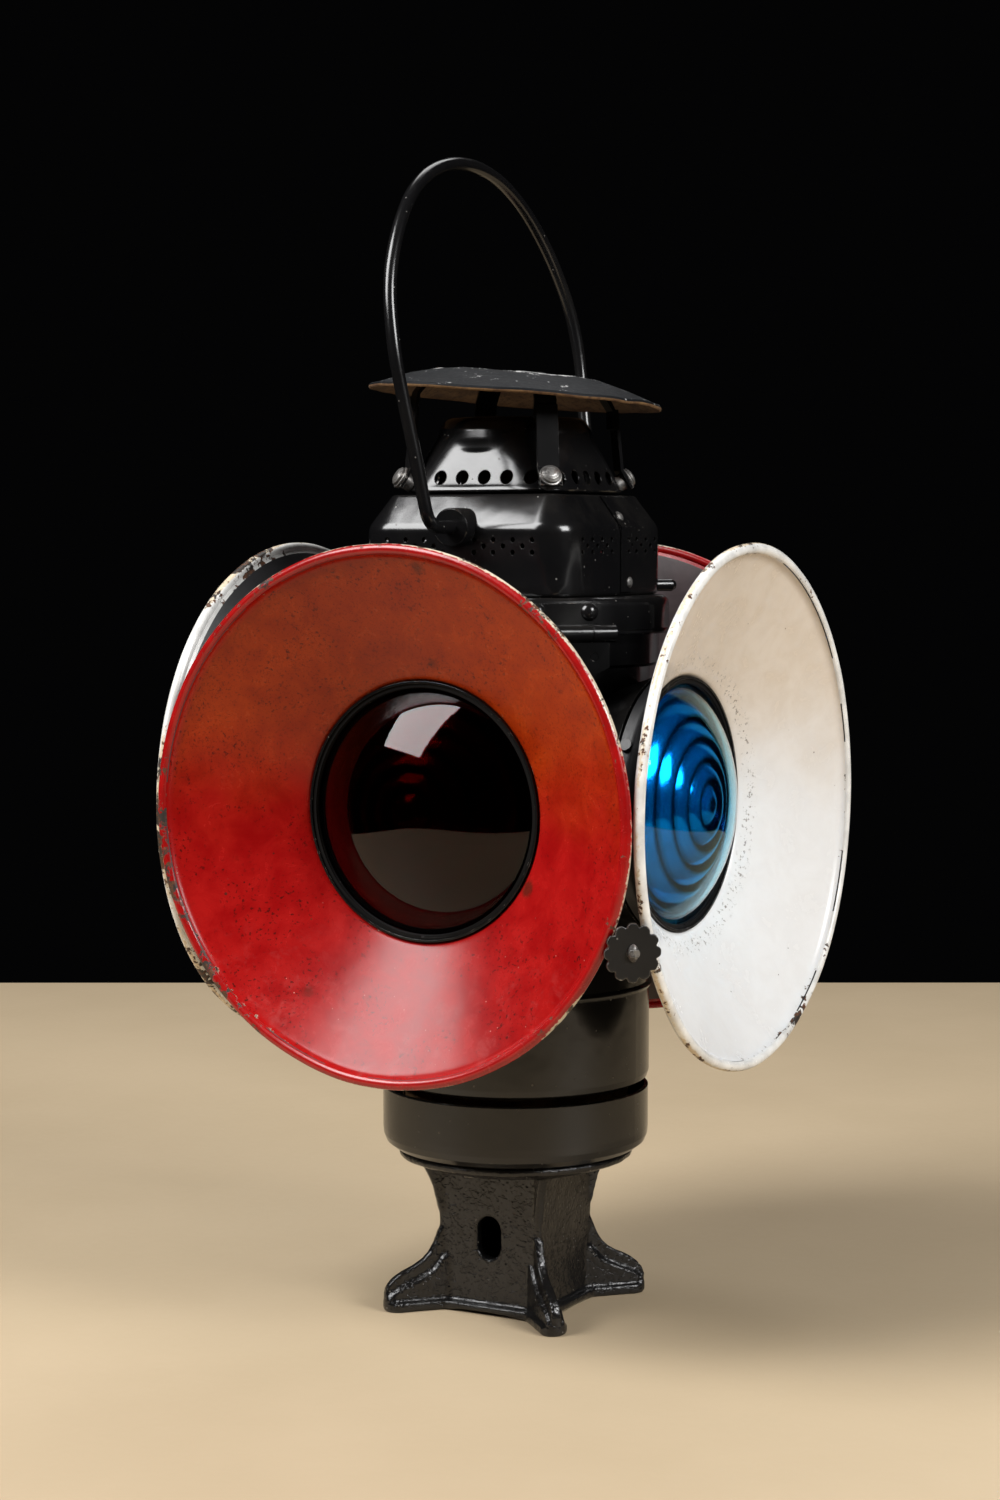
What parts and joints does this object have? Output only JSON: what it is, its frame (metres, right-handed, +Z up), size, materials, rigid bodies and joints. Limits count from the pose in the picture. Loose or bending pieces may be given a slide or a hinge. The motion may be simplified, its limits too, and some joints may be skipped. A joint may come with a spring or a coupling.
{
  "type": "railroad switch lantern",
  "caption": "Oil-burning railroad switch lantern: cast socket base, round body with lenses and dished day targets, hinged square top with ventilator, rain cap and wire bail.",
  "frame": {"origin": "centre of the square socket at the floor plane, under the lantern's upright axis", "axes": "+Z up; the near red target faces -Y, the right white target faces +X"},
  "size_m": [0.2679, 0.2679, 0.5767],
  "materials": {
    "black_casting": "gloss black paint over a pitted sand casting",
    "black_sheet": "gloss black paint on sheet steel, worn at the edges",
    "worn_steel": "dull worn steel with dark paint left in the corners",
    "bare_strap_steel": "grey weathered steel, paint worn away",
    "red_glass": "clear ruby glass",
    "blue_glass": "clear signal blue glass",
    "red_enamel": "worn red enamel with chips down to a dark ground coat",
    "white_enamel": "cream white enamel, chipped along its edge",
    "seat_felt": "packed felt seat",
    "aged_brass": "tarnished brass",
    "sooty_sheet": "sooty sheet steel with rust",
    "cotton_wick": "woven cotton",
    "black_wire": "black paint on round wire, worn at the bends"
  },
  "bodies": {
    "lantern": {"base_socket": "black_casting", "base_bolts": "worn_steel", "drip_pan": "black_sheet", "air_ring": "sooty_sheet", "body_shell": "black_sheet", "lens_front": "red_glass", "lens_right": "blue_glass", "lens_rear": "red_glass", "lens_left": "blue_glass", "lens_gaskets": "seat_felt", "lens_retainers": "black_sheet", "target_front": "red_enamel", "target_right": "white_enamel", "target_rear": "red_enamel", "target_left": "white_enamel", "target_screws": "worn_steel", "hinge_lower_leaf": "black_sheet", "hinge_pin": "worn_steel", "lower_leaf_rivets": "black_sheet", "latch_pivot_screw": "worn_steel", "fount": "aged_brass", "fount_filler": "aged_brass", "burner_base": "aged_brass", "burner_cone": "aged_brass", "wick_tube": "aged_brass", "raiser_bushing": "aged_brass"},
    "lid": {"collar": "black_sheet", "hinge_upper_leaf": "black_sheet", "upper_leaf_rivets": "black_sheet", "lid_shell": "black_sheet", "shell_seam": "black_sheet", "seam_rivets": "worn_steel", "lift_rod": "black_sheet", "ventilator": "black_sheet", "flue": "sooty_sheet", "straps": "bare_strap_steel", "strap_bolts": "worn_steel", "rain_cap": "sooty_sheet", "cap_rivets": "sooty_sheet", "bail_ears": "black_sheet", "latch_stud": "worn_steel"},
    "bail": {"bail": "black_wire", "bail_washers": "worn_steel"},
    "raiser": {"raiser_shaft": "worn_steel", "raiser_wheel": "bare_strap_steel"},
    "wick": {"wick": "cotton_wick"},
    "latch_hook": {"latch_hook": "bare_strap_steel"},
    "filler_cap": {"filler_cap": "aged_brass"}
  },
  "joints": [
    {"name": "lid_open", "type": "hinge", "parent": "lantern", "child": "lid", "pos_m": [0.05798, -0.05798, 0.3425], "axis": [0.7071, 0.7071, 0], "range_deg": [0, 55]},
    {"name": "bail_swing", "type": "hinge", "parent": "lid", "child": "bail", "pos_m": [0, 0, 0.393], "axis": [0, -1, 0], "range_deg": [-108.4, 91.6]},
    {"name": "raiser_turn", "type": "hinge", "parent": "lantern", "child": "raiser", "pos_m": [0, 0, 0.2044], "axis": [0.7071, -0.7071, 0], "range_deg": [-120, 150]},
    {"name": "wick_slide", "type": "slide", "parent": "lantern", "child": "wick", "axis": [0, 0, 1], "range_m": [-0.0095, 0.0119]},
    {"name": "latch_swing", "type": "hinge", "parent": "lantern", "child": "latch_hook", "pos_m": [-0.05586, 0.05586, 0.3335], "axis": [-0.7071, 0.7071, 0], "range_deg": [0, 180]},
    {"name": "filler_cap_turn", "type": "hinge", "parent": "lantern", "child": "filler_cap", "pos_m": [-0.02687, -0.02687, 0.1764], "axis": [0, 0, 1], "range_deg": [0, 180]}
  ],
  "couplings": [
    {"joint": "wick_slide", "follows": "raiser_turn", "m_per_rad": 0.0045}
  ]
}
